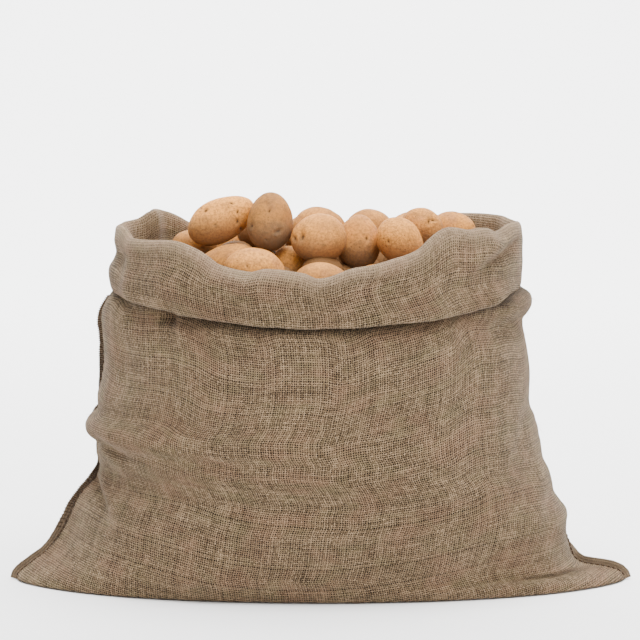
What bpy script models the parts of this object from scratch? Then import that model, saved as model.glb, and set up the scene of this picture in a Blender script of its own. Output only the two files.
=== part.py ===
"""Hessian potato sack standing open, its mouth rolled outward over a heap of potatoes.

The sack is one cut length of hessian, folded at the bottom and sewn up both sides. It is built as a front
and a back panel, which meet at the side seams and along the bottom fold. Its own frame has +Z up, -Y
towards the front, and its origin on the floor under the middle of the sack. Tables are in millimetres
and degrees, and everything built from them is in metres.
"""
import math
from collections import namedtuple

import bmesh
import bpy
import numpy as np
from mathutils import Matrix, Vector

MM = 0.001

# Driving dimensions, in metres.
CLOTH = 0.0025          # thickness of the hessian, its tails of yarn included
SEAM_FIN = 0.0065       # how far the overlocked seam edge stands out from the cloth
SEAM_THICK = 0.0032     # two cloth edges and the yarn round them
GAP = 0.0005            # clearance between pieces that touch
FILL_INSET = 0.0095     # from the cloth's outer face to the filling: the cloth and the slack inside it

# How finely the cloth is divided.
COLUMNS = 48            # round the sack, from the left seam along the front and back behind
BASE_STRIPS = 4         # across the bottom, from front to back, with the fold in the middle
FILL_STRIPS = 14        # across the filling's top
POTATO_SEGMENTS = 10
POTATO_RINGS = 8

# Horizontal sections of the sack's outer face. left and right are the x of its side edges, front and
# back its half depths. A pinch above 0 thins the ear at that end. A seam angle above 0 brings the seam
# round to the front of the side edge, and one below 0 takes it behind.
Level = namedtuple("Level", "z left right front back left_pinch right_pinch left_seam right_seam")
LEVELS = [
    Level(0, -293, 293, 126, 124, 0.10, 0.00, 0, 0),
    Level(6, -292, 291, 129, 127, 0.25, 0.35, 0, 0),
    Level(12, -288, 284, 132, 131, 0.45, 0.80, 0, 0),
    Level(18, -281, 254, 135, 134, 0.60, -0.40, 0, 0),
    Level(23, -275, 250, 137, 136, 0.66, -0.40, 0, 0),
    Level(30, -268, 247, 139, 139, 0.70, -0.40, 0, -2),
    Level(44, -257, 244, 143, 143, 0.72, -0.40, 0, -6),
    Level(62, -247, 241, 148, 148, 0.70, -0.30, 0, -11),
    Level(80, -238, 235, 151, 152, 0.62, -0.20, 0, -14),
    Level(96, -226, 229, 153, 154, 0.45, -0.10, 0, -14),
    Level(109, -217, 225, 155, 156, 0.25, 0.00, -5, -14),
    Level(121, -218, 219, 156, 157, 0.10, 0.00, -10, -14),
    Level(134, -223, 217, 157, 157, 0.00, 0.00, -13, -14),
    Level(150, -230, 214, 157, 157, 0.00, 0.00, -14, -14),
    Level(163, -225, 210, 156, 156, 0.00, 0.00, -13, -14),
    Level(176, -219, 205, 155, 156, 0.00, 0.00, -10, -14),
    Level(200, -213, 206, 153, 154, 0.00, 0.00, -4, -14),
    Level(228, -210, 203, 149, 151, 0.00, 0.00, 0, -14),
    Level(250, -210, 198, 144, 147, 0.00, 0.00, 0, -14),
    Level(261, -207, 202, 140, 143, 0.00, 0.00, 0, -12),
    Level(270, -203, 205, 138, 140, 0.00, 0.00, 0, -10),
    Level(280, -198, 199, 135, 137, 0.00, 0.00, 0, -6),
    Level(300, -196, 186, 133, 135, 0.00, 0.00, 0, 0),
    Level(335, -188, 185, 131, 133, 0.00, 0.00, 0, 0),
    Level(360, -189, 185, 131, 133, 0.00, 0.00, 0, 0),
]
EAR_TOP = 109           # below this height the sides run out to the two corner ears
EAR_POWER = 5           # how much an ear keeps to the end of its side
PINCH_POWER = 10        # how much a pinch keeps to the end of its side
WALL_TOP_LEVEL = 280    # the cloth's rows follow the levels up to here, and the rim above it
UPPER_ROWS = (0.33, 0.67)  # rows between that level and the rim's turn, as shares of the way up

# The mouth's rolled rim and the lower edge of its cuff, by x along the front and the back. push is
# how far the rim stands out from the levels there, or in below 0, and it fades towards the wall below.
MouthRow = namedtuple("MouthRow", "x rim cuff push")
MOUTH_FRONT = [
    MouthRow(-189, 345, 277, 0),
    MouthRow(-148, 340, 274, 5),
    MouthRow(-118, 329, 271, 1),
    MouthRow(-90, 316, 268, -4),
    MouthRow(-55, 318, 265, 0),
    MouthRow(-22, 315, 263, 2),
    MouthRow(4, 311, 264, 0),
    MouthRow(28, 318, 265, 2),
    MouthRow(62, 326, 268, 0),
    MouthRow(94, 334, 270, -2),
    MouthRow(118, 349, 273, 0),
    MouthRow(144, 352, 276, 5),
    MouthRow(168, 348, 280, 3),
    MouthRow(185, 355, 283, 0),
]
MOUTH_BACK = [
    MouthRow(-189, 345, 277, 0),
    MouthRow(-177, 355, 277, 4),
    MouthRow(-152, 356, 276, 3),
    MouthRow(-122, 347, 274, -7),
    MouthRow(-92, 340, 272, 1),
    MouthRow(-40, 335, 270, 4),
    MouthRow(30, 336, 270, -2),
    MouthRow(80, 343, 273, 2),
    MouthRow(125, 352, 276, -5),
    MouthRow(166, 356, 281, 3),
    MouthRow(185, 355, 283, 0),
]
PUSH_FROM = 262         # the height from which the push grows up to the rim
SEAM_FOOT = 2.5         # the side seams run from here up to where the cuff hides them
SEAM_TOP = 262
SEAM_SIDES = 8
SIDE_PUFF = 0.45        # how puffy the cuff is at the sack's two sides, where it is 1 in front

# The cloth's path over the rim: first up the wall, then out and down the cuff, and in under its edge.
# below_rim is in millimetres, and the cuff's rows go by the share of the way down to its lower edge.
RimRow = namedtuple("RimRow", "below_rim out")
RIM_TURN = [RimRow(18, 0.0), RimRow(6, 0.4), RimRow(1, 3.0), RimRow(0, 6.0), RimRow(2, 9.0)]
CuffRow = namedtuple("CuffRow", "share_down out")
CUFF = [
    CuffRow(0.25, 12.5),
    CuffRow(0.55, 14.5),
    CuffRow(0.82, 13.5),
    CuffRow(0.96, 10.5),
    CuffRow(0.97, 8.0),
    CuffRow(0.72, 8.0),
]

# Folds seen from the front or the back: a straight crease from one end to the other, its width, and
# how far it stands out, or in below 0, at its first end.
Fold = namedtuple("Fold", "side x1 z1 x2 z2 width out")
FOLD_FADE = 0.75        # how much of a fold is lost by its second end
FOLDS = [
    Fold("front", -219, 118, -178, 98, 15, -6),
    Fold("front", -222, 148, -190, 128, 15, 4),
    Fold("front", -226, 92, -196, 62, 13, -6),
    Fold("front", -212, 104, -190, 74, 12, 4),
    Fold("front", -176, 262, -140, 250, 12, -5),
    Fold("front", 204, 262, 150, 246, 12, -5),
    Fold("front", 200, 278, 172, 270, 10, 4),
    Fold("front", 210, 168, 196, 118, 14, -4),
    Fold("front", 226, 112, 206, 70, 14, 3),
    Fold("front", 250, 30, 222, 60, 14, -3),
    Fold("back", -214, 190, -120, 150, 22, -5),
    Fold("back", 206, 200, 110, 165, 22, -5),
    Fold("back", -190, 90, -150, 40, 18, 4),
    Fold("back", 215, 95, 170, 50, 18, -4),
    Fold("back", -60, 240, 40, 215, 24, -4),
]

# Potatoes that show: centre, length, thickness, tilt of the long axis up to the right, and its turn
# round the vertical. taper thins the end the long axis points to, or below 0 the other one.
Potato = namedtuple("Potato", "x y z length thick tilt turn taper")
POTATOES = [
    Potato(-96, -20, 355, 70, 42, 27, 0, 0.10),
    Potato(-48, -46, 355, 56, 44, 88, 0, 0.08),
    Potato(-1, 8, 343, 54, 45, 0, 0, 0.05),
    Potato(0, -62, 341, 53, 47, 5, 0, -0.06),
    Potato(-26, -34, 311, 46, 40, 0, 20, 0.05),
    Potato(-62, -93, 311, 58, 46, -4, 5, 0.06),
    Potato(-90, -48, 313, 58, 41, 8, -15, -0.08),
    Potato(-124, 14, 323, 48, 41, 10, 20, 0.05),
    Potato(0, -106, 299, 56, 44, 0, 0, 0.05),
    Potato(37, -28, 334, 53, 43, 86, 0, 0.10),
    Potato(50, 34, 340, 50, 43, -12, 0, 0.05),
    Potato(76, -52, 336, 51, 41, -50, 0, 0.10),
    Potato(99, -12, 346, 43, 40, -20, 0, 0.05),
    Potato(130, 22, 340, 47, 41, 0, 20, 0.05),
    Potato(56, -96, 298, 50, 42, 0, 5, 0.05),
    Potato(106, -78, 308, 50, 39, 0, 38, 0.06),
    Potato(145, -42, 321, 52, 42, 0, 62, -0.05),
    Potato(-148, -38, 303, 50, 38, 0, 76, 0.05),
    Potato(-58, 36, 342, 58, 43, 10, 60, 0.08),
    Potato(-112, 64, 325, 54, 42, 0, 30, -0.06),
    Potato(-8, 62, 334, 58, 44, 5, -30, 0.08),
    Potato(40, 90, 324, 52, 42, 0, 15, 0.05),
    Potato(92, 68, 336, 56, 42, 12, 50, 0.08),
    Potato(-62, 94, 321, 54, 43, -5, -10, 0.06),
    Potato(-12, 108, 306, 44, 40, 0, 40, 0.05),
    Potato(131, 62, 307, 44, 36, 0, 102, 0.05),
]

# The filling below the shown potatoes.
SOCKET_SHARE = 0.45     # its top rises to this share of each potato's lower half
SOCKET_SPREAD = 6       # how softly its top turns over each potato's foot
FILL_LEFT = -246        # the corner ears are empty beyond these
FILL_RIGHT = 236
FILL_LEVELS = [16, 34, 62, 90, 115, 140, 176, 215, 245]
FILL_FOOT_LENGTH = 0.97  # its underside, as shares of the lowest level
FILL_FOOT_DEPTH = 0.92
HEAP_EDGE_LEVEL = 320   # the heap's edge keeps the outline of this level
HEAP_EDGE_INSET = 0.012

MATERIALS = {
    "hessian": ((0.28, 0.20, 0.125), 0.95),
    "seam_yarn": ((0.075, 0.045, 0.025), 0.90),
    "potato_skin": ((0.60, 0.37, 0.19), 0.60),
    "potato_heap": ((0.36, 0.22, 0.11), 0.75),
}


def curve_value(xs, ys, x):
    """Value at x of a smooth curve through the points, held level beyond its ends."""
    if x <= xs[0]:
        return ys[0]
    if x >= xs[-1]:
        return ys[-1]
    i = int(np.searchsorted(xs, x, side="right")) - 1
    slopes = np.gradient(ys, xs)
    width = xs[i + 1] - xs[i]
    t = (x - xs[i]) / width
    start = (1 + 2 * t) * (1 - t) ** 2 * ys[i] + t * (1 - t) ** 2 * width * slopes[i]
    end = t * t * (3 - 2 * t) * ys[i + 1] + t * t * (t - 1) * width * slopes[i + 1]
    return start + end


def table_value(rows, key, column, x):
    """One column of a table of named rows, read at x of its key column."""
    xs = np.array([getattr(row, key) for row in rows], float)
    ys = np.array([getattr(row, column) for row in rows], float)
    return curve_value(xs, ys, x)


def level_at(z):
    """The sack's section at a height in millimetres."""
    return Level(z, *(table_value(LEVELS, "z", name, z) for name in Level._fields[1:]))


def section_angle(u, level):
    """Angle round the section for u, which is 0 to 1 along the front and 1 to 2 along the back."""
    left = math.radians(level.left_seam)
    right = math.radians(level.right_seam)
    if u <= 1:
        return math.pi + left + u * (math.pi - left - right)
    return 2 * math.pi - right + (u - 1) * (math.pi + left + right)


def fold_out(side, x, z):
    """How far the folds push the cloth out at a point seen from one side, in millimetres."""
    total = 0.0
    for fold in FOLDS:
        if fold.side != side:
            continue
        start = np.array((fold.x1, fold.z1), float)
        along = np.array((fold.x2, fold.z2), float) - start
        share = np.clip(np.dot(np.array((x, z)) - start, along) / np.dot(along, along), 0, 1)
        distance = np.linalg.norm(np.array((x, z)) - start - share * along)
        fade = 1 - FOLD_FADE * share ** 2
        total += fold.out * fade * math.exp(-((distance / fold.width) ** 2))
    return total


def wall_point(u, z, out=0.0, left_limit=None, right_limit=None):
    """Point of the sack's outer face at height z, moved outward by out, all in millimetres."""
    level = level_at(z)
    angle = section_angle(u, level)
    cosine = math.cos(angle)
    front = math.sin(angle) < 0
    left, right = level.left - out, level.right + out
    if left_limit is not None:
        left, right = max(left, left_limit), min(right, right_limit)
    body = level_at(max(z, EAR_TOP))
    body_left, body_right = body.left - out, body.right + out
    ear = right - body_right if cosine > 0 else body_left - left
    x = (body_left + body_right) / 2 + (body_right - body_left) / 2 * cosine
    x += ear * math.copysign(abs(cosine) ** EAR_POWER, cosine)
    share = np.clip((2 * x - left - right) / (right - left), -1, 1)
    sine = math.sqrt(1 - share ** 2) * (-1 if front else 1)
    depth = (level.front if front else level.back) + out
    pinch = level.right_pinch if share > 0 else level.left_pinch
    y = depth * sine * (1 - pinch * share ** PINCH_POWER)
    outward = np.array((depth * share, (right - left) / 2 * sine))
    length = fold_out("front" if front else "back", x, z) * abs(sine) ** 0.5
    outward *= length / np.linalg.norm(outward)
    return np.array((x + outward[0], y + outward[1], z))


def mouth_at(u):
    """The mouth's row of values at u, in millimetres."""
    rows = MOUTH_FRONT if u <= 1 else MOUTH_BACK
    x = wall_point(u, LEVELS[-1].z)[0]
    return MouthRow(x, *(table_value(rows, "x", name, x) for name in MouthRow._fields[1:]))


def cloth_column(u):
    """The cloth's path at u, from the edge of its bottom up the wall, over the rim and round the cuff."""
    mouth = mouth_at(u)
    rim = mouth.rim - CLOTH / MM
    puff = 1 - (1 - SIDE_PUFF) * math.cos(section_angle(u, LEVELS[-1])) ** 4
    stations = [(row.z, 0.0) for row in LEVELS if row.z <= WALL_TOP_LEVEL]
    below_turn = rim - RIM_TURN[0].below_rim
    stations += [(WALL_TOP_LEVEL + (below_turn - WALL_TOP_LEVEL) * share, 0.0) for share in UPPER_ROWS]
    stations += [(rim - row.below_rim, row.out) for row in RIM_TURN]
    top = rim - RIM_TURN[-1].below_rim
    stations += [(top + (mouth.cuff - top) * row.share_down, row.out) for row in CUFF]
    points = []
    for z, out in stations:
        share = np.clip((z - PUSH_FROM) / (rim - PUSH_FROM), 0, 1)
        points.append(Vector(wall_point(u, z, out * puff + mouth.push * share)) * MM)
    return points


def new_mesh_object(name, bm, material, collection):
    """An object from a bmesh, with its material."""
    mesh = bpy.data.meshes.new(name)
    bm.to_mesh(mesh)
    bm.free()
    mesh.materials.append(material)
    mesh.shade_smooth()
    obj = bpy.data.objects.new(name, mesh)
    collection.objects.link(obj)
    return obj


def bridge(bm, lower, upper):
    """Faces between two rings of equal length, returned in the rings' order."""
    count = len(lower)
    faces = []
    for i in range(count):
        j = (i + 1) % count
        faces.append(bm.faces.new((lower[i], lower[j], upper[j], upper[i])))
    return faces


def span_ring(bm, ring, strips, upward, height=None):
    """Close a ring with strips from front to back, facing up or down. height gives z in between.

    Returns the rows of vertices, each from front to back, and the faces of each strip.
    """
    half = len(ring) // 2
    rows = []
    for i in range(half + 1):
        front, back = ring[i], ring[-i]
        if i in (0, half):
            rows.append([ring[i]] * (strips + 1))
            continue
        row = [front]
        for step in range(1, strips):
            point = front.co.lerp(back.co, step / strips)
            if height:
                point.z = height(point.x, point.y)
            row.append(bm.verts.new(point))
        rows.append(row + [back])
    faces = [[] for _ in range(strips)]
    for row, following in zip(rows, rows[1:]):
        for step in range(strips):
            corners = (row[step], following[step], following[step + 1], row[step + 1])
            corners = list(dict.fromkeys(corners))
            faces[step].append(bm.faces.new(corners if upward else corners[::-1]))
    return rows, faces


def column_positions(count):
    """The u of each column, from the left seam along the front and back behind."""
    return [2 * i / count for i in range(count)]


def make_sheet():
    """The whole cloth as one open sheet over bottom, wall, rim and cuff.

    Returns it with the front panel's faces, the back panel's, and the vertices where the two meet,
    each with the direction into the front panel.
    """
    bm = bmesh.new()
    columns = [[bm.verts.new(point) for point in cloth_column(u)] for u in column_positions(COLUMNS)]
    half = COLUMNS // 2
    rings = list(zip(*columns))
    front, back = [], []
    for lower, upper in zip(rings, rings[1:]):
        faces = bridge(bm, lower, upper)
        front += faces[:half]
        back += faces[half:]
    rows, strips = span_ring(bm, rings[0], BASE_STRIPS, upward=False)
    fold = BASE_STRIPS // 2
    front += [face for strip in strips[:fold] for face in strip]
    back += [face for strip in strips[fold:] for face in strip]
    bm.normal_update()
    edge = [*columns[0], *columns[half], *(row[fold] for row in rows[1:-1])]
    own = set(front)
    return bm, front, back, {vert: toward_front(vert, own) for vert in edge}


def toward_front(vert, front):
    """Direction along the cloth into the front panel, at a vertex where the panels meet."""
    step = Vector()
    for face in vert.link_faces:
        away = (face.calc_center_median() - vert.co).normalized()
        step += away if face in front else -away
    step -= vert.normal * step.dot(vert.normal)
    return step.normalized()


def make_panel(name, faces, meeting, shift, material, collection):
    """One panel of the cloth with its thickness, moved by a shift where it meets the other panel."""
    bm = bmesh.new()
    own = set(faces)
    pairs = {}
    for vert in dict.fromkeys(vert for face in faces for vert in face.verts):
        outer = vert.co + meeting.get(vert, Vector()) * shift
        inner = outer - vert.normal * CLOTH * vert.calc_shell_factor()
        pairs[vert] = (bm.verts.new(outer), bm.verts.new(inner))
    for face in faces:
        bm.faces.new([pairs[vert][0] for vert in face.verts])
        bm.faces.new([pairs[vert][1] for vert in reversed(face.verts)])
        for loop in face.loops:
            if not any(other in own for other in loop.edge.link_faces if other != face):
                start, end = pairs[loop.vert], pairs[loop.link_loop_next.vert]
                bm.faces.new((end[0], start[0], start[1], end[1]))
    return new_mesh_object(name, bm, material, collection)


def make_sack(material, collection):
    """The sack's front and back panels."""
    sheet, front, back, meeting = make_sheet()
    make_panel("front_panel", front, meeting, GAP / 2, material, collection)
    make_panel("back_panel", back, meeting, -GAP / 2, material, collection)
    sheet.free()


def seam_frames(u):
    """Points up a side seam with the cloth's outward direction and the direction across the seam."""
    heights = [SEAM_FOOT] + [row.z for row in LEVELS if SEAM_FOOT < row.z < SEAM_TOP]
    points = [Vector(wall_point(u, z)) for z in heights]
    step = 1 / COLUMNS
    frames = []
    for i, z in enumerate(heights):
        around = Vector(wall_point((u + step) % 2, z) - wall_point((u - step) % 2, z))
        climb = (points[min(i + 1, len(points) - 1)] - points[max(i - 1, 0)]).normalized()
        outward = around.cross(climb).normalized()
        frames.append((points[i] * MM, outward, climb.cross(outward).normalized()))
    return frames


def make_side_seam(name, u, material, collection):
    """The overlocked edge of one side seam, a flat strip standing out from the cloth."""
    bm = bmesh.new()
    rings = []
    flat_to_corner = 1 / math.cos(math.pi / SEAM_SIDES)
    for point, outward, across in seam_frames(u):
        middle = point + outward * (GAP + SEAM_FIN / 2)
        ring = []
        for side in range(SEAM_SIDES):
            angle = 2 * math.pi * (side + 0.5) / SEAM_SIDES
            reach = SEAM_FIN / 2 * math.cos(angle) * flat_to_corner
            width = SEAM_THICK / 2 * math.sin(angle) * flat_to_corner
            ring.append(bm.verts.new(middle + outward * reach + across * width))
        rings.append(ring)
    for lower, upper in zip(rings, rings[1:]):
        bridge(bm, lower, upper)
    bm.faces.new(rings[0][::-1])
    bm.faces.new(rings[-1])
    return new_mesh_object(name, bm, material, collection)


def potato_bmesh(potato, grown=0.0):
    """A potato about its own centre with its long axis along X, grown by a clearance."""
    bm = bmesh.new()
    bmesh.ops.create_uvsphere(bm, u_segments=POTATO_SEGMENTS, v_segments=POTATO_RINGS, radius=0.5)
    length = potato.length * MM + 2 * grown
    thick = potato.thick * MM + 2 * grown
    for vert in bm.verts:
        x, y, z = vert.co.z, vert.co.y, -vert.co.x
        girth = thick * (1 - 2 * potato.taper * x)
        vert.co = (length * x, girth * y, girth * z)
    return bm


def place_potato(obj, potato):
    """Set a potato's place, turn and tilt."""
    obj.location = Vector((potato.x, potato.y, potato.z)) * MM
    turn = Matrix.Rotation(math.radians(potato.turn), 3, "Z")
    tilt = Matrix.Rotation(math.radians(-potato.tilt), 3, "Y")
    obj.rotation_euler = (turn @ tilt).to_euler()


def make_potatoes(material, collection):
    """Every potato that shows, one object each."""
    for number, potato in enumerate(POTATOES, start=1):
        obj = new_mesh_object(f"potato_{number:02d}", potato_bmesh(potato), material, collection)
        place_potato(obj, potato)


def make_sockets(material, cutters):
    """Cutters that clear the filling round each shown potato."""
    for number, potato in enumerate(POTATOES, start=1):
        bm = potato_bmesh(potato, grown=GAP)
        cutter = new_mesh_object(f"socket_{number:02d}", bm, material, cutters)
        cutter.hide_render = True
        cutter.display_type = "WIRE"
        place_potato(cutter, potato)


def half_height(potato):
    """Half the height of a potato as it lies, in millimetres."""
    tilt = math.radians(potato.tilt)
    return math.hypot(potato.length / 2 * math.sin(tilt), potato.thick / 2 * math.cos(tilt))


def heap_height(x, y):
    """Height of the filling's top at a point in metres, a smooth surface through the potatoes' feet."""
    total = weights = 0.0
    for potato in POTATOES:
        foot = potato.z - (1 - SOCKET_SHARE) * half_height(potato)
        distance = math.hypot(x / MM - potato.x, y / MM - potato.y)
        weight = 1 / (distance ** 2 + SOCKET_SPREAD ** 2) ** 2
        total += weight * foot
        weights += weight
    return total / weights * MM


def fill_ring(bm, z, inset=FILL_INSET):
    """One ring of the filling, a little inside the cloth."""
    ring = []
    for u in column_positions(COLUMNS):
        point = wall_point(u, z, -inset / MM, FILL_LEFT, FILL_RIGHT)
        ring.append(bm.verts.new(Vector(point) * MM))
    return ring


def make_fill(material, collection, cutters):
    """The potatoes below the shown ones, as one plain form on the sack's bottom."""
    bm = bmesh.new()
    foot = fill_ring(bm, FILL_LEVELS[0])
    for vert in foot:
        vert.co = (vert.co.x * FILL_FOOT_LENGTH, vert.co.y * FILL_FOOT_DEPTH, CLOTH + GAP)
    rings = [foot] + [fill_ring(bm, z) for z in FILL_LEVELS]
    heap_edge = fill_ring(bm, HEAP_EDGE_LEVEL, HEAP_EDGE_INSET)
    for vert in heap_edge:
        vert.co.z = heap_height(vert.co.x, vert.co.y)
    rings.append(heap_edge)
    for lower, upper in zip(rings, rings[1:]):
        bridge(bm, lower, upper)
    span_ring(bm, rings[0], 1, upward=False)
    span_ring(bm, rings[-1], FILL_STRIPS, upward=True, height=heap_height)
    fill = new_mesh_object("potato_fill", bm, material, collection)
    sockets = fill.modifiers.new("sockets for the shown potatoes", "BOOLEAN")
    sockets.operation = "DIFFERENCE"
    sockets.solver = "EXACT"
    sockets.operand_type = "COLLECTION"
    sockets.collection = cutters


def make_material(name):
    """A plain Principled material from the table."""
    colour, roughness = MATERIALS[name]
    material = bpy.data.materials.new(name)
    material.use_nodes = True
    shader = material.node_tree.nodes["Principled BSDF"]
    shader.inputs["Base Color"].default_value = (*colour, 1)
    shader.inputs["Roughness"].default_value = roughness
    shader.inputs["Metallic"].default_value = 0
    return material


def make_collection(name):
    """A collection linked to the scene."""
    collection = bpy.data.collections.new(name)
    bpy.context.scene.collection.children.link(collection)
    return collection


def main():
    for obj in list(bpy.data.objects):
        bpy.data.objects.remove(obj, do_unlink=True)
    materials = {name: make_material(name) for name in MATERIALS}
    parts = make_collection("hessian sack")
    cutters = make_collection("cutters")
    make_sack(materials["hessian"], parts)
    make_side_seam("side_seam_left", 0.0, materials["seam_yarn"], parts)
    make_side_seam("side_seam_right", 1.0, materials["seam_yarn"], parts)
    make_potatoes(materials["potato_skin"], parts)
    make_sockets(materials["potato_heap"], cutters)
    make_fill(materials["potato_heap"], parts, cutters)


main()
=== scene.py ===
"""Looks of the hessian potato sack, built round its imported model, in metres with +Z up and -Y in front."""
import math
from collections import namedtuple

import bmesh
import bpy
import numpy as np
from mathutils import Matrix, Vector


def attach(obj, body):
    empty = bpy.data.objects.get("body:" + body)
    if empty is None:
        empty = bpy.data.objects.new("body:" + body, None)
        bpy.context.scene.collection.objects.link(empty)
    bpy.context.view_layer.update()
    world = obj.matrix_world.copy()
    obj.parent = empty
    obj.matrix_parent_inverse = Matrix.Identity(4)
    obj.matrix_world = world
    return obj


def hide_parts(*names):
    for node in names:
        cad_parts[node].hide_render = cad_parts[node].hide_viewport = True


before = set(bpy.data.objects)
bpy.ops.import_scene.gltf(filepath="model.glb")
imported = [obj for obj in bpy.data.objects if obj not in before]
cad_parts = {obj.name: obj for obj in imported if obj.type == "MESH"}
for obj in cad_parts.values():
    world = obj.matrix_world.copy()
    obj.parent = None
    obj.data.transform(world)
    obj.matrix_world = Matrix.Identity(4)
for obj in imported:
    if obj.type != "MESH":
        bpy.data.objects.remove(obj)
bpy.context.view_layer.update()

MM = 0.001
SEED = 11

# Sizes of the solids in metres: the cloth's thickness, and a side seam's edge. The tables below are in
# millimetres and degrees. They follow the solids' own closely, with more rows for the cloth's finer form.
CLOTH = 0.0025
SEAM_FIN = 0.0065
SEAM_THICK = 0.0032

# The sack's section at each height: how far it reaches each way, each seam's angle from the side, towards
# the back below 0, and how far its corners are pinched flat, or squared below 0.
Level = namedtuple("Level", "z left right front back left_seam right_seam left_pinch right_pinch",
                   defaults=(0, 0))
LEVELS = [Level(*row) for row in (
    (0, -299, 301, 126, 124, 0, 0, 0.24, 0.22),
    (6, -297, 298, 129, 127, 0, 0, 0.32, 0.42),
    (9, -294, 294, 131, 129, 0, 0, 0.42, 0.70),
    (12, -290, 283, 132, 131, 0, 0, 0.48, 0.70),
    (15, -286, 262, 133, 132, 0, 0, 0.55, 0),
    (18, -282, 255, 135, 134, 0, 0, 0.60, -0.40),
    (23, -275, 250, 137, 136, 0, 0, 0.66, -0.40),
    (30, -268, 247, 139, 139, 0, -2, 0.70, -0.40),
    (44, -257, 244, 143, 143, 0, -6, 0.72, -0.40),
    (56, -250, 243, 146, 146, 0, -9, 0.71, -0.33),
    (70, -243, 242, 150, 150, 0, -12, 0.67, -0.26),
    (78, -239, 236, 151, 152, 0, -14, 0.63, -0.21),
    (86, -234, 231, 152, 153, 0, -14, 0.56, -0.16),
    (96, -226, 229, 153, 154, 0, -14, 0.45, -0.10),
    (109, -217, 225, 155, 156, -5, -14, 0.25, 0),
    (121, -219, 219, 156, 157, -10, -14, 0.10, 0),
    (129, -220, 218, 157, 157, -12, -14, 0.03, 0),
    (136, -220, 217, 157, 157, -13, -14),
    (143, -227, 215, 157, 157, -14, -14),
    (150, -230, 214, 157, 157, -14, -14),
    (156, -229, 212, 157, 157, -14, -14),
    (163, -224, 210, 156, 156, -13, -14),
    (169, -217, 207, 156, 156, -12, -14),
    (176, -216, 205, 155, 156, -10, -14),
    (185, -216, 205, 154, 155, -7, -14),
    (200, -213, 206, 153, 154, -4, -14),
    (228, -212, 203, 149, 151, 0, -14),
    (250, -213, 198, 145, 147, 0, -14),
    (258, -213, 198, 141, 143, 0, -12),
    (264, -212, 203, 134, 139, 0, -11),
    (270, -210, 206, 130, 136, 0, -10),
    (277, -206, 206, 130, 135, 0, -8),
    (284, -201, 202, 131, 134, 0, -5),
    (289, -197, 194, 132, 134, 0, -3),
    (300, -196, 186, 133, 135, 0, 0),
    (307, -195, 186, 133, 135, 0, 0),
    (314, -191, 186, 132, 134, 0, 0),
    (322, -188, 185, 132, 134, 0, 0),
    (335, -188, 185, 131, 133, 0, 0),
    (360, -189, 185, 131, 133, 0, 0),
)]
EAR_TOP = 109           # height below which the corners stand out as ears
EAR_POWER = 5
EAR_LEAN = 13           # how far the ears' tips lie forward, less with height up to EAR_LEAN_TOP
EAR_LEAN_TOP = 26
PINCH_POWER = 10

# Heights of the rim and of the cuff's lower edge, and how far the mouth is pushed out, along each side.
MouthRow = namedtuple("MouthRow", "x rim cuff push")
MOUTH_FRONT = [MouthRow(*row) for row in (
    (-189, 349, 288, 4),
    (-186, 350, 285, 4),
    (-183, 350, 284, 4),
    (-180, 348, 283, 4),
    (-177, 345, 282, 4),
    (-173, 342, 281, 4),
    (-165, 341, 280, 4),
    (-152, 341, 278, 4),
    (-134, 342, 275, 4),
    (-127, 341, 273, 3),
    (-119, 338, 272, 1),
    (-111, 334, 271, 0),
    (-103, 328, 270, -2),
    (-95, 322, 269, -3),
    (-86, 319, 268, -4),
    (-69, 316, 266, -2),
    (-60, 315, 265, -1),
    (-50, 318, 265, 0),
    (-40, 318, 264, 1),
    (-22, 316, 263, 2),
    (-11, 314, 264, 1),
    (-2, 310, 264, 0),
    (8, 311, 264, 1),
    (27, 319, 265, 2),
    (46, 322, 267, 1),
    (65, 327, 268, 0),
    (83, 332, 269, -2),
    (91, 336, 270, -2),
    (100, 345, 271, -1),
    (108, 352, 272, 0),
    (115, 355, 273, 1),
    (122, 354, 274, 3),
    (130, 352, 276, 4),
    (143, 353, 278, 4),
    (150, 352, 280, 4),
    (159, 348, 284, 3),
    (164, 349, 286, 3),
    (172, 353, 287, 3),
    (178, 354, 287, 4),
    (185, 353, 287, 4),
)]
MOUTH_BACK = [MouthRow(*row) for row in (
    (-189, 349, 288, 4),
    (-185, 350, 284, 4),
    (-180, 351, 282, 4),
    (-177, 353, 280, 4),
    (-174, 358, 279, 4),
    (-171, 360, 278, 4),
    (-163, 360, 277, 3),
    (-154, 359, 276, 1),
    (-148, 356, 275, -2),
    (-142, 351, 275, -4),
    (-136, 346, 274, -5),
    (-127, 342, 274, -6),
    (-118, 340, 274, -5),
    (-92, 338, 272, 1),
    (-40, 335, 270, 4),
    (30, 336, 270, -2),
    (80, 343, 273, 2),
    (118, 352, 276, -4),
    (140, 355, 278, -2),
    (166, 355, 281, 3),
    (178, 353, 284, 4),
    (185, 352, 287, 4),
)]
PUSH_FROM = 262         # height from which the push sets in
CUFF_LEVEL = 303        # the cuff hangs straight from this level, clear of the bulges below it
SIDE_PUFF = 0.45        # the cuff's distance out at the sack's sides, as a share of that in front
CUFF_BLEND = 8          # how far past the rim's turn the wall's folds give way to the cuff's

# The cloth's turn over the rim, then the cuff down to its edge, tucked back up under it.
RimRow = namedtuple("RimRow", "below_rim out")
RIM_TURN = [RimRow(*row) for row in (
    (22, 0.0),
    (11, -0.2),
    (4.5, 1.2),
    (1.2, 4.0),
    (0, 7.2),
    (1.0, 10.2),
    (4.2, 12.8),
)]
CuffRow = namedtuple("CuffRow", "share_down out")
CUFF = [CuffRow(*row) for row in (
    (0.16, 14.4),
    (0.40, 14.9),
    (0.66, 15.0),
    (0.86, 14.0),
    (0.96, 11.6),
    (0.985, 8.6),
    (0.95, 6.8),
    (0.72, 6.2),
)]

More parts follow.
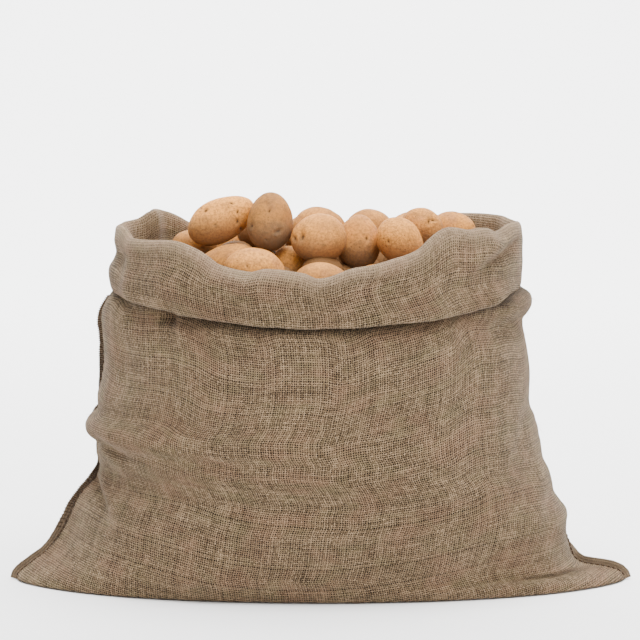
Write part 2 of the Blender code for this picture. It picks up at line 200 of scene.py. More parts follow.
# Folds and creases, each along a line and fading towards its second end. "ear" is the front of the left
# ear, moved along the sack's depth, and "cuff" is the cuff's front.
Fold = namedtuple("Fold", "x1 z1 x2 z2 width out")
FOLD_FADE = 0.75
CUFF_FOLLOWS = 0.3      # how far the cuff takes part in the wall's folds
FOLDS = {}
FOLDS["front"] = (
    (-217, 138, -180, 124, 10, -5),
    (-224, 152, -192, 142, 13, 4),
    (-226, 92, -196, 62, 13, -6),
    (-212, 104, -190, 74, 12, 4),
    (-176, 262, -140, 250, 12, -5),
    (204, 262, 150, 246, 12, -5),
    (200, 278, 172, 270, 10, 4),
    (210, 168, 196, 118, 14, -4),
    (226, 112, 206, 70, 14, 3),
    (250, 30, 222, 60, 14, -3),
    (-216, 143, -184, 131, 5, -9),
    (-214, 133, -188, 120, 6, 5),
    (-220, 99, -203, 73, 6, -4),
    (-214, 108, -196, 70, 7, 3),
    (-200, 240, -206, 160, 10, 2.5),
    (-190, 236, -194, 150, 9, -2),
    (196, 262, 158, 248, 7, -3.5),
    (196, 243, 150, 232, 8, 2),
    (200, 172, 190, 128, 6, -3),
    (214, 118, 206, 76, 7, 2.5),
    (222, 88, 214, 40, 7, -2.5),
    (240, 24, 220, 52, 7, -3),
    (-262, 30, -236, 58, 9, -2),
    (-150, 246, -120, 210, 12, -1.5),
    (120, 60, 150, 130, 16, -1.5),
    (-110, 40, -130, 120, 18, 1.5),
    (-143, 268, -141, 260, 6, -12),
    (-134, 262, -128, 250, 6, 3),
    (-192, 281, -180, 273, 7, -13),
)
FOLDS["ear"] = (
    (-220, 97, -204, 76, 5, -13),
    (-212, 110, -196, 86, 7, 5),
)
FOLDS["cuff"] = (
    (-191, 322, -193, 290, 5, -6),
    (188, 335, 148, 309, 7, -10),
    (182, 346, 141, 320, 6, 6),
    (166, 284, 188, 291, 13, 7),
    (-184, 290, -172, 282, 9, 4),
    (-140, 282, -144, 268, 7, -5),
    (-60, 312, -64, 270, 16, 1.5),
    (50, 312, 56, 272, 18, -1.5),
    (110, 330, 104, 276, 14, 1.5),
)
FOLDS["cuff back"] = (
    (-192, 303, -190, 292, 10, 11),
)
FOLDS["back"] = (
    (-214, 190, -120, 150, 22, -5),
    (206, 200, 110, 165, 22, -5),
    (-190, 90, -150, 40, 18, 4),
    (215, 95, 170, 50, 18, -4),
    (-60, 240, 40, 215, 24, -4),
    (-120, 330, -100, 230, 14, -3),
    (120, 330, 90, 240, 14, -3),
    (-150, 210, -60, 190, 12, -2.5),
    (150, 140, 60, 120, 16, -2.5),
    (-180, 60, -110, 80, 14, -2.5),
)

# Pleats that push the rim out, or in below 0, round an x on the front or the back.
Pleat = namedtuple("Pleat", "side x width out")
PLEATS = [Pleat(*row) for row in (
    ("back", -184, 5, 2),
    ("back", -171, 7, -13),
    ("back", -152, 6, 6),
    ("back", -128, 9, -4),
    ("back", 150, 10, -7),
    ("back", 171, 6, 4),
    ("front", -168, 10, 3),
)]

Potato = namedtuple("Potato", "x y z length thick tilt turn taper")
POTATOES = [Potato(*row) for row in (
    (-95, -20, 355, 68, 42, 27, 0, 0.10),
    (-48, -46, 355, 56, 44, 88, 0, 0.08),
    (-1, 8, 343, 54, 45, 0, 0, 0.05),
    (-1, -62, 340, 53, 48, 5, 0, -0.06),
    (-26, -34, 311, 46, 40, 0, 20, 0.05),
    (-62, -93, 311, 58, 46, -4, 5, 0.06),
    (-87, -48, 313, 65, 41, 8, -10, -0.08),
    (-124, 14, 323, 48, 41, 10, 20, 0.05),
    (0, -106, 299, 56, 44, 0, 0, 0.05),
    (37, -28, 334, 53, 43, 86, 0, 0.10),
    (50, 34, 340, 50, 43, -12, 0, 0.05),
    (77, -52, 336, 51, 41, -50, 0, 0.10),
    (99, -12, 346, 43, 40, -20, 0, 0.05),
    (130, 22, 340, 47, 41, 0, 20, 0.05),
    (56, -96, 298, 50, 42, 0, 5, 0.05),
    (106, -78, 308, 50, 39, 0, 38, 0.06),
    (145, -42, 321, 52, 42, 0, 62, -0.05),
    (-148, -38, 303, 50, 38, 0, 76, 0.05),
    (-58, 36, 342, 58, 43, 10, 60, 0.08),
    (-112, 64, 325, 54, 42, 0, 30, -0.06),
    (-8, 62, 334, 58, 44, 5, -30, 0.08),
    (40, 90, 324, 52, 42, 0, 15, 0.05),
    (92, 68, 336, 56, 42, 12, 50, 0.08),
    (-62, 94, 321, 54, 43, -5, -10, 0.06),
    (-12, 108, 306, 44, 40, 0, 40, 0.05),
    (131, 62, 307, 44, 36, 0, 102, 0.05),
)]
# How each potato's skin differs: its tone, paler below 0 and browner above it, and scuff and speckle from
# 0 to 1. The potatoes past these rows draw theirs.
SkinLook = namedtuple("SkinLook", "tone scuff speckle")
SKIN_LOOKS = [SkinLook(*row) for row in (
    (-1.7, 0.25, 0.4),
    (2.0, 0.8, 0.3),
    (0.7, 0.4, 0.3),
    (-0.2, 0.3, 0.2),
    (0.2, 0.4, 0.3),
    (-0.2, 0.4, 0.5),
    (0.5, 0.3, 0.3),
    (1.5, 0.6, 0.6),
    (0.9, 0.2, 0.3),
    (-0.1, 0.4, 0.4),
    (1.0, 0.4, 0.3),
    (-1.5, 0.2, 0.7),
    (0.0, 0.4, 0.8),
    (0.2, 0.3, 0.7),
    (0.3, 0.4, 0.4),
    (0.2, 0.4, 0.4),
    (0.2, 0.4, 0.4),
    (0.2, 0.4, 0.4),
    # potato 19, seen in the gap between potatoes 1 and 2, is browned as painted shade
    (3.0, 0.6, 0.4),
)]
# Eyes that the front view shows: the potato's number, then millimetres right of and above its middle.
Eye = namedtuple("Eye", "potato right up radius depth")
EYES = [Eye(*row) for row in (
    (1, -15, 10, 2.6, 1.0),
    (1, 10, 17, 1.8, 0.6),
    (1, 16, 9, 2.0, 0.8),
    (1, 16, 0, 2.4, 0.9),
    (1, 19, -8, 2.2, 0.9),
    (1, 19, -14, 1.8, 0.7),
    (1, -20, 12, 1.6, 0.6),
    (1, 7, 14, 1.4, 0.5),
    (1, -6, -3, 1.4, 0.5),
    (2, 8, -8, 2.6, 1.1),
    (2, 0, 12, 2.2, 0.9),
    (2, -17, -3, 2.2, 0.8),
    (2, -3, -16, 1.6, 0.6),
    (4, -16, 3, 3.4, 1.6),
    (4, -23, 1, 2.4, 1.0),
    (6, -6, 8, 1.8, 0.6),
    (10, 8, 5, 2.0, 0.7),
    (12, -12, 2, 1.6, 0.5),
    (13, 6, 8, 2.4, 1.2),
    (13, 10, 9, 2.0, 1.0),
)]

# How finely the cloth is divided: columns round it, strips across its bottom, and millimetres between its
# rows, up the wall, below LOW_TOP and over the rim.
COLUMNS, BASE_STRIPS = 240, 12
ROW_STEP, LOW_STEP, RIM_STEP = 3.0, 1.5, 1.7
LOW_TOP = 24
YARNS_EVEN = 9          # columns or rows each way over which the yarns' lines are evened
SHEET = 0.0021          # thickness shown, on the outer side of the cloth's points
BASE_LIFT = 1.6         # height of the lowest row, so that the cloth's outer face meets the floor

RIPPLES = 14            # waves in the cloth's unevenness, whole above RIPPLE_FULL
RIPPLE_LENGTHS = 28, 110
RIPPLE_HEIGHT = 0.0045  # of their length
RIPPLE_FULL = 30
WEAR_HIGHLIGHT_FADE = 8           # how far the wear and painted highlight fade from the rim, and down the mouth's inside
WEAR_HIGHLIGHT_INSIDE_FADE = 25
SHADE_REACH = 20        # how far the painted shade reaches up under the cuff
SHADE_FADE = 6

# Heights on the side seams: their ends, and from where the right one's edge lies back and brown yarn is
# wound over both edges.
SEAM_BOTTOM, SEAM_TOP, SEAM_STEP = 0.4, 280, 1.5
SEAM_END = 18
LAY_FROM, LAY_OVER = 20, 14
WOUND_FROM, WOUND_OVER = 48, 30
SEAM_ROOT = 0.0030      # how far a seam's edge runs back into the cloth's corner
SEAM_LESS = 0.35        # how much less it stands out where it is wound, and again at its top
TURN_POINTS = 10        # points to a turn of the yarn
TURN_OPEN, TURN_CLOSER = 5.0, 3.0   # from turn to turn, and how much less further up
YARN_RADIUS = 0.00026
STITCH, STITCH_PITCH = 4.4, 5.6
STITCH_RADII = (0.0003, 0.0007, 0.00085, 0.00085, 0.0007, 0.0003)
FIBRES = 1500
FIBRE_RADII = (0.0001, 0.00009, 0.00008, 0.00006, 0.00003)

# Waves that make a potato lumpy: how many, and the least and most of their rates and heights.
Lumps = namedtuple("Lumps", "count slow fast low high")
LUMPS = (Lumps(7, 3, 7, 0.004, 0.010), Lumps(6, 12, 22, 0.0008, 0.0018))
EYE_LONG = 1.35         # an eye's length and narrowness against its radius
BROW_AT, BROW_HIGH = 1.9, 0.18  # the swelling round it, against its radius and depth
UNDERSIDE = 0.28        # how far the painted shade of a potato's greyer, browner underside comes up its sides
FINE_POTATOES = 14      # the first ones, in front, have finer meshes
FINE_SEGMENTS, SEGMENTS, HEAP_SEGMENTS = 126, 56, 28
HEAP_DROPS = 22, 56     # depth of each layer of the heap under its top
HEAP_PITCH = 41, 34
HEAP_RADII = 158, 106
# the heap's potatoes are browned as painted shade, for the dark gaps between the shown ones
HEAP_SHADED_LOOK = SkinLook(4.0, 0.6, 0.4)


def smooth(xs, ys, x):
    """Values at x of a smooth curve through the points, held level beyond its ends."""
    xs, ys = np.asarray(xs, float), np.asarray(ys, float)
    x = np.clip(x, xs[0], xs[-1])
    i = np.clip(np.searchsorted(xs, x, side="right") - 1, 0, len(xs) - 2)
    slopes = np.gradient(ys, xs, axis=0)
    width = xs[i + 1] - xs[i]
    t = (x - xs[i]) / width
    if ys.ndim == 2:
        t, width = t[:, None], width[:, None]
    start = (1 + 2 * t) * (1 - t) ** 2 * ys[i] + t * (1 - t) ** 2 * width * slopes[i]
    end = t * t * (3 - 2 * t) * ys[i + 1] + t * t * (t - 1) * width * slopes[i + 1]
    return start + end


def table_values(rows, name, x):
    """One column of a table of named rows, read at each x of its first column."""
    return smooth([row[0] for row in rows], [getattr(row, name) for row in rows], x)


def section_angle(u, z):
    """Angle round the sack's section for u, which is 0 to 1 along the front and 1 to 2 along the back."""
    left = np.radians(table_values(LEVELS, "left_seam", z))
    right = np.radians(table_values(LEVELS, "right_seam", z))
    front = math.pi + left + u * (math.pi - left - right)
    back = 2 * math.pi - right + (u - 1) * (math.pi + left + right)
    return np.where(u <= 1, front, back)


def ripple(x, z, field):
    """Gentle unevenness of the cloth in millimetres, its own for each numbered field."""
    rng = np.random.default_rng(SEED + field)
    total = np.zeros(np.shape(x))
    for _ in range(RIPPLES):
        length = rng.uniform(*RIPPLE_LENGTHS)
        heading = rng.uniform(0, math.pi)
        phase = rng.uniform(0, 2 * math.pi)
        across = x * math.cos(heading) + z * math.sin(heading)
        total += RIPPLE_HEIGHT * length * np.sin(2 * math.pi * across / length + phase)
    return total


def fold_out(side, x, z):
    """How far the folds push the cloth out at points seen from one side, in millimetres."""
    total = np.zeros(np.shape(x))
    for fold in map(Fold._make, FOLDS[side]):
        run, rise = fold.x2 - fold.x1, fold.z2 - fold.z1
        share = np.clip(((x - fold.x1) * run + (z - fold.z1) * rise) / (run * run + rise * rise), 0, 1)
        distance = np.hypot(x - fold.x1 - share * run, z - fold.z1 - share * rise)
        total += fold.out * (1 - FOLD_FADE * share**2) * np.exp(-((distance / fold.width) ** 2))
    return total


def wall(u, z, out=0.0, cuff=0.0):
    """Points of the cloth for arrays of u, height and distance out, in millimetres, without its thickness.

    cuff is 0 on the wall, 1 on the cuff, and between them round the rim."""
    u, z, out, cuff = (np.array(a, float) for a in np.broadcast_arrays(u, z, out, cuff))
    level_z = np.where(cuff > 0.5, np.maximum(z, CUFF_LEVEL), z)
    level = {name: table_values(LEVELS, name, level_z) for name in Level._fields[1:]}
    body_z = np.maximum(level_z, EAR_TOP)
    body_left = table_values(LEVELS, "left", body_z) - out
    body_right = table_values(LEVELS, "right", body_z) + out
    angle = section_angle(u, z)
    cosine, front = np.cos(angle), np.sin(angle) < 0
    left, right = level["left"] - out, level["right"] + out
    ear = np.where(cosine > 0, right - body_right, body_left - left)
    x = (body_left + body_right) / 2 + (body_right - body_left) / 2 * cosine
    x += ear * np.copysign(np.abs(cosine) ** EAR_POWER, cosine)
    share = np.clip((2 * x - left - right) / (right - left), -1, 1)
    sine = np.sqrt(1 - share**2) * np.where(front, -1, 1)
    depth = np.where(front, level["front"], level["back"]) + out
    pinch = np.where(share > 0, level["right_pinch"], level["left_pinch"])
    y = depth * sine * (1 - pinch * share**PINCH_POWER)
    lean = EAR_LEAN * np.clip(1 - z / EAR_LEAN_TOP, 0, 1) * share**PINCH_POWER
    y -= lean + front * fold_out("ear", x, z)
    away = np.stack((depth * share, (right - left) / 2 * sine))
    away /= np.maximum(np.linalg.norm(away, axis=0), 1e-9)
    on_wall = np.where(front, fold_out("front", x, z), fold_out("back", x, z))
    on_cuff = np.where(front, fold_out("cuff", x, z), fold_out("cuff back", x, z))
    length = np.where(cuff > 0, on_wall * CUFF_FOLLOWS + on_cuff * cuff, on_wall) * np.abs(sine) ** 0.5
    on_side = np.where(front, ripple(x, z, 0), ripple(x, z, 1))
    whole = np.clip(z / RIPPLE_FULL, 0.2, 1)
    length += ((1 - cuff) * on_side + cuff * ripple(x, z, 2)) * whole
    return np.stack((x + away[0] * length, y + away[1] * length, z), axis=-1)


def pleat_push(u):
    """How far the pleats move the mouth's rim out at each u, in millimetres."""
    x = wall(u, LEVELS[-1].z)[..., 0]
    total = np.zeros(len(u))
    for pleat in PLEATS:
        same_side = (u <= 1) == (pleat.side == "front")
        total += pleat.out * np.exp(-(((x - pleat.x) / pleat.width) ** 2)) * same_side
    return total


def mouth_values(u, name):
    """One value of the mouth's rows at each u, in millimetres."""
    x = wall(u, LEVELS[-1].z)[..., 0]
    front, back = (table_values(rows, name, x) for rows in (MOUTH_FRONT, MOUTH_BACK))
    return np.where(u <= 1, front, back)


def rim_path(rim, edge):
    """Heights and distances out of the cloth's rows from the rim's turn down the cuff, in millimetres."""
    heights = [rim - row.below_rim for row in RIM_TURN]
    top = heights[-1]
    heights = np.array(heights + [top + (edge - top) * row.share_down for row in CUFF])
    outs = np.array([row.out for row in RIM_TURN + CUFF])
    steps = np.hypot(np.diff(heights, axis=0).mean(axis=1), np.diff(outs))
    knots = np.concatenate(([0], np.cumsum(steps)))
    rows = np.linspace(0, knots[-1], round(knots[-1] / RIM_STEP))[1:]
    outs = smooth(knots, np.repeat(outs[:, None], COLUMNS, axis=1), rows)
    on_cuff = np.clip((rows - knots[len(RIM_TURN) - 1]) / CUFF_BLEND, 0, 1)
    return smooth(knots, heights, rows), outs, on_cuff


def cloth_grid():
    """The cloth's points: rows up the wall, over the rim and down the cuff, and columns round the sack."""
    u = 2 * np.arange(COLUMNS) / COLUMNS
    rim = mouth_values(u, "rim") - CLOTH / MM
    push = mouth_values(u, "push") + pleat_push(u)
    side = np.cos(section_angle(u, LEVELS[-1].z)) ** 4
    shares = np.linspace(0, 1, round(rim.mean() / ROW_STEP))[:, None]
    low = np.arange(BASE_LIFT, LOW_TOP, LOW_STEP)[:, None] * np.ones(COLUMNS)
    wall_z = np.concatenate((low, LOW_TOP + shares * (rim - RIM_TURN[0].below_rim - LOW_TOP)))
    rim_z, rim_out, on_cuff = rim_path(rim, mouth_values(u, "cuff"))
    z = np.concatenate((wall_z, rim_z))
    out = np.concatenate((np.zeros_like(wall_z), rim_out * (1 - (1 - SIDE_PUFF) * side)))
    out += push * np.clip((z - PUSH_FROM) / (rim - PUSH_FROM), 0, 1)
    cuff = np.concatenate((np.zeros(len(wall_z)), on_cuff))[:, None]
    return wall(u, z, out, cuff) * MM


def evened(values, reach, wrap=False):
    """Values averaged along their first axis over reach steps each way, three times."""
    for _ in range(3):
        way = {"mode": "wrap"} if wrap else {"mode": "reflect", "reflect_type": "odd"}
        padded = np.pad(values, ((reach, reach), (0, 0)), **way)
        total = np.cumsum(np.concatenate((np.zeros((1, values.shape[1])), padded)), axis=0)
        values = (total[2 * reach + 1:] - total[:-2 * reach - 1]) / (2 * reach + 1)
    return values


def cloth_uv(points):
    """Place of each point on the flat cloth in metres: u from each side's middle, v from the rim's top."""
    rows, half = len(points), COLUMNS // 2
    closed = np.concatenate((points, points[:, :1]), axis=1)
    u = np.zeros((rows, COLUMNS + 1))
    for side in (slice(0, half + 1), slice(half, COLUMNS + 1)):
        steps = np.linalg.norm(np.diff(closed[:, side], axis=1), axis=2)
        length = np.concatenate((np.zeros((rows, 1)), np.cumsum(steps, axis=1)), axis=1)
        for row, x, own in zip(range(rows), closed[:, side, 0], length):
            order = np.argsort(x)
            u[row, side] = own - np.interp(0, x[order], own[order])
    climb = np.linalg.norm(np.diff(points, axis=0), axis=2)
    v = np.concatenate((np.zeros((1, COLUMNS)), np.cumsum(climb, axis=0)))
    v = evened(v.T, YARNS_EVEN, wrap=True).T
    v -= v[np.argmax(points[:, :, 2].mean(axis=1))]
    return evened(u, YARNS_EVEN), np.concatenate((v, v[:, :1]), axis=1)


def make_piece(name, vertices, faces, material, uv=None):
    """A smooth mesh object. uv has a place on the flat cloth for each corner of each face."""
    mesh = bpy.data.meshes.new(name)
    mesh.from_pydata([tuple(v) for v in vertices], [], faces)
    if uv:
        layer = mesh.uv_layers.new(name="cloth")
        layer.data.foreach_set("uv", [value for corner in uv for value in corner])
    mesh.materials.append(material)
    mesh.shade_smooth()
    obj = bpy.data.objects.new(name, mesh)
    bpy.context.scene.collection.objects.link(obj)
    return obj


def rim_share(points, top):
    """How much wear and painted highlight each row of cloth has: 1 just past the rim's top, and less on the
    rows either side of it.
    """
    steps = np.hypot(*np.diff(points[:, COLUMNS // 4, 1:], axis=0).T)
    climb = np.concatenate(([0], np.cumsum(steps))) / MM
    past = climb - climb[top]
    inside = 0.6 * np.exp(-((past / WEAR_HIGHLIGHT_INSIDE_FADE) ** 2)) * (np.arange(len(climb)) < top)
    return np.maximum(np.exp(-(((past - 3) / WEAR_HIGHLIGHT_FADE) ** 2)), inside)


def painted_hem_shade(points, top):
    """How much painted shade darkens each point of the wall just under the cuff's lower edge, 0 to 1."""
    above_hem = points[:, :, 2] / MM - mouth_values(2 * np.arange(COLUMNS) / COLUMNS, "cuff")
    painted_shade = np.clip((above_hem + SHADE_FADE) / SHADE_FADE, 0, 1)
    painted_shade *= np.clip((SHADE_REACH - above_hem) / SHADE_FADE, 0, 1)
    painted_shade[top:] = 0
    return painted_shade


def make_cloth(points, material):
    """The sack's one cloth, from its bottom to the cuff's hidden edge."""
    rows = len(points)
    u, v = cloth_uv(points)
    vertices = list(points.reshape(-1, 3))
    faces, uv = [], []
    for r in range(rows - 1):
        for c in range(COLUMNS):
            corners = ((r, c), (r, c + 1), (r + 1, c + 1), (r + 1, c))
            faces.append([a * COLUMNS + b % COLUMNS for a, b in corners])
            uv += [(u[a, b], v[a, b]) for a, b in corners]
    half = COLUMNS // 2
    strips = []
    for c in range(half + 1):
        front, back = points[0, c], points[0, -c]
        if c in (0, half):
            strips.append([c] * (BASE_STRIPS + 1))
            continue
        inner = range(len(vertices), len(vertices) + BASE_STRIPS - 1)
        vertices += [front + (back - front) * s / BASE_STRIPS for s in range(1, BASE_STRIPS)]
        strips.append([c, *inner, COLUMNS - c])
    for c in range(half):
        for s in range(BASE_STRIPS):
            face = (strips[c][s + 1], strips[c + 1][s + 1], strips[c + 1][s], strips[c][s])
            face = list(dict.fromkeys(face))    # a triangle at the sack's two ends
            faces.append(face)
            uv += [(vertices[i][0], vertices[i][1]) for i in face]
    cloth = make_piece("hessian_cloth", vertices, faces, material, uv)
    top = np.argmax(points[:, :, 2].mean(axis=1))
    spare = np.zeros(len(vertices) - rows * COLUMNS)
    # wear and painted highlight along the rim
    add_numbers(cloth, "wear_and_highlight", np.concatenate((np.repeat(rim_share(points, top), COLUMNS), spare)))
    # painted shade on the wall under the cuff's lower edge
    add_numbers(cloth, "painted_shade", np.concatenate((painted_hem_shade(points, top).ravel(), spare)))
    thickness = cloth.modifiers.new("cloth thickness", "SOLIDIFY")
    thickness.thickness = SHEET
    thickness.offset = -1
    thickness.use_quality_normals = True
    return cloth


def tube_faces(start, rings, sides):
    """The faces of a closed tube made of rings of points, whose first point has the number start."""
    faces = []
    for i in range(rings - 1):
        for k in range(sides):
            a, b = start + i * sides + k, start + i * sides + (k + 1) % sides
            faces.append((a, b, b + sides, a + sides))
    end = start + rings * sides
    return faces + [tuple(range(start, start + sides))[::-1], tuple(range(end - sides, end))]


def add_tube(path, radius, sides, vertices, faces):
    """Adds one closed tube along a path of points. radius has a number for each point."""
    path = np.asarray(path, float)
    along = np.gradient(path, axis=0)
    along /= np.linalg.norm(along, axis=1)[:, None]
    normal = np.cross(along[0], (0.31, 0.52, 0.79))
    start = len(vertices)
    turns = 2 * math.pi * np.arange(sides) / sides
    for point, direction, r in zip(path, along, radius):
        normal = normal - direction * np.dot(normal, direction)
        normal /= np.linalg.norm(normal)
        side = np.cross(direction, normal)
        for turn in turns:
            vertices.append(point + r * (normal * math.cos(turn) + side * math.sin(turn)))
    faces += tube_faces(start, len(path), sides)


def seam_frames(u, lay_back):
    """Points up a side seam in metres, its directions outward and across, and millimetres along it.

    lay_back is the angle in degrees by which its edge lies back against the cloth above the ear."""
    heights = np.arange(SEAM_BOTTOM, SEAM_TOP, SEAM_STEP)
    points = wall(u, heights)
    near = 1 / 48       # a short way round the sack
    around = wall((u + near) % 2, heights) - wall((u - near) % 2, heights)
    climb = np.gradient(points, axis=0)
    climb /= np.linalg.norm(climb, axis=1)[:, None]
    outward = np.cross(around, climb)
    outward /= np.linalg.norm(outward, axis=1)[:, None]
    across = np.cross(climb, outward)
    turn = np.radians(lay_back * np.clip((heights - LAY_FROM) / LAY_OVER, 0, 1))[:, None]
    outward, across = (outward * np.cos(turn) + across * np.sin(turn),
                       across * np.cos(turn) - outward * np.sin(turn))
    along = np.concatenate(([0], np.cumsum(np.linalg.norm(np.diff(points, axis=0), axis=1))))
    return points * MM, outward, across, along


def seam_reach(height):
    """How far a seam's edge stands out, in metres, at a height in millimetres."""
    wound = np.clip((height - 50) / 50, 0, 1)
    ending = np.clip((height - (SEAM_TOP - SEAM_END)) / SEAM_END, 0, 1)
    return SEAM_FIN * (1 - SEAM_LESS * wound - SEAM_LESS * ending)


def make_seam_fin(name, frames, material):
    """The two cut edges of a side seam, standing out from the cloth as a flat, slightly ragged strip."""
    rng = np.random.default_rng(SEED)
    points, outward, across, along = frames
    sides = 12
    vertices, places = [], []
    ragged = np.convolve(rng.normal(0, 1, len(points) + 8), np.ones(3) / 3, "same")[4:-4]
    for i, point in enumerate(points):
        reach = seam_reach(point[2] / MM) * (1 + 0.06 * ragged[i]) + SEAM_ROOT
        middle = point + outward[i] * (reach / 2 - SEAM_ROOT)
        lean = across[i] * 0.0006 * math.sin(along[i] / 23)
        for k in range(sides):
            turn = 2 * math.pi * (k + 0.5) / sides
            flat = np.copysign(abs(math.cos(turn)) ** 0.5, math.cos(turn))
            share = (1 + flat) / 2
            thin = SEAM_THICK / 2 * math.sin(turn) * (1 - 0.25 * share)
            vertices.append(middle + outward[i] * reach / 2 * flat + across[i] * thin + lean * share)
            places.append((reach * share, along[i]))
    faces = tube_faces(0, len(points), sides)
    fin = make_piece(name, vertices, faces, material, [places[i] for face in faces for i in face])
    add_numbers(fin, "wear_and_highlight", np.full(len(vertices), 0.7))
    return fin


def at_length(frames, s):
    """A seam's point, directions outward and across, and height in millimetres, at a length along it."""
    *tables, along = frames
    values = [np.array([np.interp(s, along, column) for column in table.T]) for table in tables]
    return *values, values[0][2] / MM


def make_seam_yarn(name, frames, material):
    """The brown yarn wound over a seam's edge above the ear, and a row of stitches on each of its faces."""
    rng = np.random.default_rng(SEED + 1)
    length = frames[3][-1]
    vertices, faces = [], []
    path, radii = [], []
    turn = 0.0
    s = np.interp(WOUND_FROM * MM, frames[0][:, 2], frames[3])
    while s < length:
        base, out, side, height = at_length(frames, s)
        close = np.clip((height - WOUND_FROM) / WOUND_OVER, 0, 1)
        reach = seam_reach(height) / 2
        middle = base + out * (reach + 0.0002)
        wide = out * (reach + 0.0003) * math.cos(turn)
        path.append(middle + wide + side * (SEAM_THICK / 2 + 0.0002) * math.sin(turn))
        radii.append(YARN_RADIUS + YARN_RADIUS * close)
        turn += 2 * math.pi / TURN_POINTS
        s += (TURN_OPEN - TURN_CLOSER * close) / TURN_POINTS * rng.uniform(0.8, 1.2)
    add_tube(path, radii, 6, vertices, faces)
    for face_side in (1, -1):
        s = 3.0
        while s < length - 6:
            stitch = []
            for share in np.linspace(0, 1, len(STITCH_RADII)):
                base, out, side, _ = at_length(frames, s + STITCH * share)
                rise = SEAM_THICK / 2 + 0.0010 * math.sin(math.pi * share)
                stitch.append(base + out * 0.0004 + side * face_side * rise)
            add_tube(stitch, STITCH_RADII, 6, vertices, faces)
            s += STITCH_PITCH * rng.uniform(0.9, 1.1)
    return make_piece(name, vertices, faces, material)


def make_fuzz(points, material):
    """Loose fibres that stand out of the cloth."""
    rng = np.random.default_rng(SEED + 2)
    rows = len(points)
    vertices, faces = [], []
    for _ in range(FIBRES):
        r = rng.integers(4, rows - 12)
        c = rng.integers(0, COLUMNS)
        point = points[r, c]
        along = points[r + 1, c] - points[r - 1, c]
        around = points[r, (c + 1) % COLUMNS] - points[r, c - 1]
        normal = np.cross(around, along)
        if not np.linalg.norm(normal):
            continue
        normal /= np.linalg.norm(normal)
        heading = rng.uniform(0, 2 * math.pi)
        flat = along / np.linalg.norm(along) * math.cos(heading)
        flat += around / np.linalg.norm(around) * math.sin(heading)
        length = rng.uniform(0.003, 0.010)
        lift = rng.uniform(0.15, 0.75)
        droop = rng.uniform(0.0, 0.5)
        path = []
        for t in np.linspace(0, 1, len(FIBRE_RADII)):
            height = lift * t - droop * t * t
            path.append(point + flat * length * t + normal * (length * max(height, 0) + 0.0001))
        add_tube(path, FIBRE_RADII, 3, vertices, faces)
    return make_piece("hessian_fuzz", vertices, faces, material)


def potato_shape(potato, segments, rng, eyes=()):
    """A potato about its middle: points in metres, faces, and how deep in an eye and how low each one is,
    the latter for the underside's painted shade.
    """
    bm = bmesh.new()
    bmesh.ops.create_uvsphere(bm, u_segments=segments, v_segments=segments * 2 // 3, radius=0.5)
    sphere = np.array([(v.co.z, v.co.y, -v.co.x) for v in bm.verts])
    faces = sorted(tuple(v.index for v in face.verts) for face in bm.faces)    # in the same order each run
    bm.free()
    size = np.array((potato.length, potato.thick, potato.thick)) * MM
    local = sphere * size
    local[:, 1:] *= (1 - 2 * potato.taper * sphere[:, :1])
    lumps = np.zeros(len(sphere))
    for kind in LUMPS:
        for _ in range(kind.count):
            wave = rng.normal(0, 1, 3) * rng.uniform(kind.slow, kind.fast)
            lumps += rng.uniform(kind.low, kind.high) * np.sin(sphere @ wave + rng.uniform(0, 6.3))
    local *= (1 + lumps)[:, None]
    turn = Matrix.Rotation(math.radians(potato.turn), 3, "Z")
    turn = np.array(turn @ Matrix.Rotation(math.radians(-potato.tilt), 3, "Y"))
    world = local @ turn.T
    inward = -world / np.linalg.norm(world, axis=1)[:, None]
    deep = np.zeros(len(world))
    dents = []
    for eye in eyes:
        lean = rng.uniform(0, math.pi)
        right, up = world[:, 0] / MM - eye.right, world[:, 2] / MM - eye.up
        long = right * math.cos(lean) + up * math.sin(lean)
        wide = up * math.cos(lean) - right * math.sin(lean)
        distance = np.hypot(long / EYE_LONG, wide * EYE_LONG)
        dents.append((np.where(world[:, 1] < 0, distance, 99), eye.radius, eye.depth))
    for _ in range(rng.integers(3, 6)):
        spot = world[rng.integers(0, len(world))]
        if spot[1] < 0:
            continue
        distance = np.linalg.norm(world - spot, axis=1) / MM
        dents.append((distance, rng.uniform(1.6, 3.0), rng.uniform(0.4, 1.0)))
    for distance, radius, depth in dents:
        share = np.exp(-((distance / radius) ** 2))
        brow = np.exp(-(((distance - BROW_AT * radius) / radius) ** 2)) * BROW_HIGH
        world = world + inward * ((share - brow) * depth * MM)[:, None]
        deep = np.maximum(deep, share)
    return world, faces, deep, np.clip(inward[:, 2] + UNDERSIDE, 0, 1)


def add_numbers(obj, name, values):
    """A number for each point of a mesh, for its material."""
    obj.data.attributes.new(name, "FLOAT", "POINT").data.foreach_set("value", values)


def add_look(obj, look):
    """One skin look for a whole mesh."""
    for name, value in zip(SkinLook._fields, look):
        add_numbers(obj, name, np.full(len(obj.data.vertices), value))


def make_potatoes(material):
    """Each potato that shows, in place of its solid."""
    for number, potato in enumerate(POTATOES, start=1):
        rng = np.random.default_rng(100 + number)
        eyes = [eye for eye in EYES if eye.potato == number]
        segments = FINE_SEGMENTS if number <= FINE_POTATOES else SEGMENTS
        world, faces, deep, low = potato_shape(potato, segments, rng, eyes)
        centre = np.array((potato.x, potato.y, potato.z)) * MM
        obj = make_piece(f"potato_skin_{number:02d}", world + centre, faces, material)
        if number <= len(SKIN_LOOKS):
            look = SKIN_LOOKS[number - 1]
        else:
            look = SkinLook(rng.uniform(-0.5, 0.6), rng.uniform(0.2, 0.6), rng.uniform(0.2, 0.7))
        add_numbers(obj, "eye", deep)
        # how low each point is, for the underside's painted shade
        add_numbers(obj, "low", low)
        add_look(obj, look)
        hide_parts(f"potato_{number:02d}")
        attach(obj, "root")


